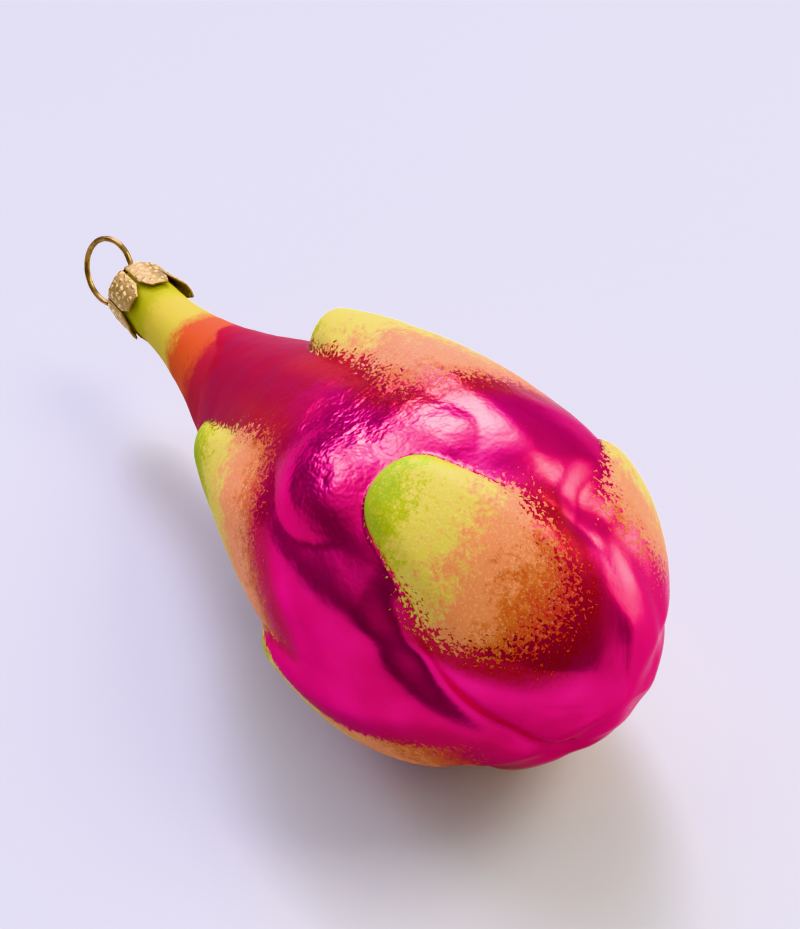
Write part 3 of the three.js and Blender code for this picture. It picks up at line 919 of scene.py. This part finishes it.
class ORNAMENT_OT_cap(bpy.types.Operator):
    """Build the stamped crown cap with its folded leaves"""

    bl_idname = "ornament.cap"
    bl_label = "Build Cap"

    def execute(self, context):
        cap = context.scene.ornament_cap
        points, quads, raised = stamped_leaves(cap)
        points, quads = wire_holes(points, quads, cap, context.scene.ornament_wire)
        points = rim_place(points, context.scene.ornament_glass)
        piece = add_piece("cap", points, quads, NO_TRIANGLES, {"raised": raised}, grained_brass(cap))
        weld = piece.modifiers.new("weld", "WELD")
        weld.merge_threshold = WELD_WITHIN * MM
        sheet = piece.modifiers.new("sheet", "SOLIDIFY")
        sheet.thickness = cap.sheet - cap.grain
        sheet.offset = -1.0
        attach(piece, "root")
        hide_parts("crown_cap")
        return {"FINISHED"}


def smooth_route(points, steps):
    """A smooth curve through the points, with the same number of steps between each two.

    The knots are spaced by the root of the distance. Each stretch blends its four nearest points in pairs,
    the results in pairs again and the last two into one, each by where the step lies between two knots.
    """
    route = np.concatenate([2.0 * points[:1] - points[1:2], points, 2.0 * points[-1:] - points[-2:-1]])
    gaps = np.sqrt(np.linalg.norm(np.diff(route, axis=0), axis=1))
    knots = np.concatenate([[0.0], np.cumsum(gaps)])
    stretches = len(points) - 1
    knot = [knots[start : start + stretches, None, None] for start in range(4)]
    blend = [route[start : start + stretches, None, :] for start in range(4)]
    step = lerp(knot[1], knot[2], np.linspace(0.0, 1.0, steps, endpoint=False)[None, :, None])
    for span, first in ((1, 0), (2, 0), (1, 1)):
        pairs = []
        for number in range(len(blend) - 1):
            low, high = knot[first + number], knot[first + number + span]
            pairs.append(((high - step) * blend[number] + (step - low) * blend[number + 1]) / (high - low))
        blend = pairs
    return np.concatenate([blend[0].reshape(-1, 3), points[-1:]])


class ORNAMENT_OT_wire(bpy.types.Operator):
    """Build the hanger wire with its loop and its two legs"""

    bl_idname = "ornament.wire"
    bl_label = "Build Wire"

    def execute(self, context):
        wire = context.scene.ornament_wire
        dome = context.scene.ornament_cap.dome / MM
        depth, offset = wire.leg_depth / MM, wire.leg_offset / MM
        heights = np.array([-depth, -depth / 2.0, 0.0, dome / 2.0])
        leg = np.stack([0.0 * heights, heights, 0.0 * heights + offset], axis=-1)
        turn_to = np.linspace(wire.opening, 2.0 * math.pi - wire.opening, LOOP_POINTS)
        loop_radius = wire.loop_radius / MM
        height = dome + wire.loop_rise / MM - loop_radius * np.cos(turn_to)
        loop = np.stack([wire.lean * (height - dome), height, loop_radius * np.sin(turn_to)], axis=-1)
        route = smooth_route(np.concatenate([leg, loop, leg[::-1] * [1.0, 1.0, -1.0]]), wire.steps)

        # The section is a circle that stays square to the route, which never runs along X.
        along = np.gradient(route, axis=0)
        along /= np.linalg.norm(along, axis=1, keepdims=True)
        out = np.cross(along, [1.0, 0.0, 0.0])
        out /= np.linalg.norm(out, axis=1, keepdims=True)
        side = np.cross(out, along)
        around = np.linspace(0.0, 2.0 * math.pi, wire.sides, endpoint=False)[None, :, None]
        radius = wire.radius / MM
        rows = route[:, None] + radius * (np.cos(around) * out[:, None] + np.sin(around) * side[:, None])
        points, quads, triangles = closed_rows(rows, route[0], route[-1])
        points = rim_place(turned(points, wire.angle), context.scene.ornament_glass)
        points = fitted(points, "hanger_wire")
        quads, triangles = outward(points, quads, triangles)
        piece = add_piece("wire", points, quads, triangles, {}, drawn_brass(wire))
        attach(piece, "root")
        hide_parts("hanger_wire")
        return {"FINISHED"}


# The studio

def studio_world():
    """Dim surroundings with soft lit patches, each an exponential of the cosine to its own direction."""
    sheet = Sheet(bpy.data.worlds.new("studio"), "BACKGROUND")
    total = SURROUNDINGS
    for towards, sharpness, strength, shade in LIT_PATCHES:
        cosine = sheet.vector("DOT_PRODUCT", sheet.coordinates["Generated"], Vector(towards).normalized())
        patch = sheet.math("EXPONENT", sheet.math("MULTIPLY_ADD", cosine, sharpness, -sharpness))
        total = sheet.vector("MULTIPLY_ADD", patch, strength * Vector(shade), total)
    sheet.set("Color", total)
    return sheet.owner


def area_light(name, place, size, power):
    """A square soft light that points at the ornament."""
    light = bpy.data.lights.new(name, "AREA")
    light.size = size
    light.energy = power
    light.color = LAMP
    lamp = bpy.data.objects.new(name, light)
    lamp.location = place
    lamp.rotation_euler = Vector(place).to_track_quat("Z", "Y").to_euler()
    bpy.context.scene.collection.objects.link(lamp)
    return lamp


class ORNAMENT_OT_stage(bpy.types.Operator):
    """Lay the floor, set the studio light and place the camera"""

    bl_idname = "ornament.stage"
    bl_label = "Set Stage"

    def execute(self, context):
        scene = context.scene
        stage = scene.ornament_stage
        half = stage.floor_size / 2.0
        corners = np.array([[-half, -half, 0.0], [half, -half, 0.0], [half, half, 0.0], [-half, half, 0.0]])
        floor = add_piece("floor", corners, np.array([[0, 1, 2, 3]]), NO_TRIANGLES, {}, pale_floor(stage))

        scene.world = studio_world()
        area_light("key", place=(0.5, 0.84, 1.32), size=0.7, power=14.0)
        fill = area_light("fill", place=(0.95, -0.75, 1.3), size=1.2, power=4.0)
        fill.visible_glossy = False

        lens = bpy.data.cameras.new("camera")
        lens.sensor_width = SENSOR
        lens.lens = LENS
        lens.clip_start = CLIP_START
        lens.shift_x, lens.shift_y = LENS_SHIFT
        camera = bpy.data.objects.new("camera", lens)
        back = Vector(CAMERA_SIDE).normalized()
        camera.location = Vector(CAMERA_AIM) + back * stage.camera_distance
        camera.rotation_euler = back.to_track_quat("Z", "Y").to_euler()
        scene.collection.objects.link(camera)
        scene.camera = camera
        scene.view_settings.view_transform = "Khronos PBR Neutral"
        return {"FINISHED"}


# The add-on

class ORNAMENT_PT_panel(bpy.types.Panel):
    """Lists the ornament's pieces and their settings"""

    bl_idname = "ORNAMENT_PT_panel"
    bl_label = "Dragon Fruit Ornament"
    bl_space_type = "VIEW_3D"
    bl_region_type = "UI"
    bl_category = "Ornament"

    def draw(self, context):
        for operator, name in zip(OPERATORS, SETTINGS):
            box = self.layout.box()
            box.operator(operator.bl_idname)
            for key in SETTINGS[name].__annotations__:
                box.prop(getattr(context.scene, name), key)


SETTINGS = {
    "ornament_glass": GlassSettings,
    "ornament_cap": CapSettings,
    "ornament_wire": WireSettings,
    "ornament_stage": StageSettings,
}
OPERATORS = (ORNAMENT_OT_glass, ORNAMENT_OT_cap, ORNAMENT_OT_wire, ORNAMENT_OT_stage)
CLASSES = (*SETTINGS.values(), *OPERATORS, ORNAMENT_PT_panel)


def register():
    """Make the classes known and give the scene its settings."""
    for item in CLASSES:
        bpy.utils.register_class(item)
    for name, group in SETTINGS.items():
        setattr(bpy.types.Scene, name, PointerProperty(type=group))


def unregister():
    """Take the settings and the classes away again."""
    for name in SETTINGS:
        delattr(bpy.types.Scene, name)
    for item in reversed(CLASSES):
        bpy.utils.unregister_class(item)


def main():
    """Build the ornament and its studio."""
    register()
    bpy.ops.ornament.glass()
    bpy.ops.ornament.cap()
    bpy.ops.ornament.wire()
    bpy.ops.ornament.stage()


if __name__ == "__main__":
    main()
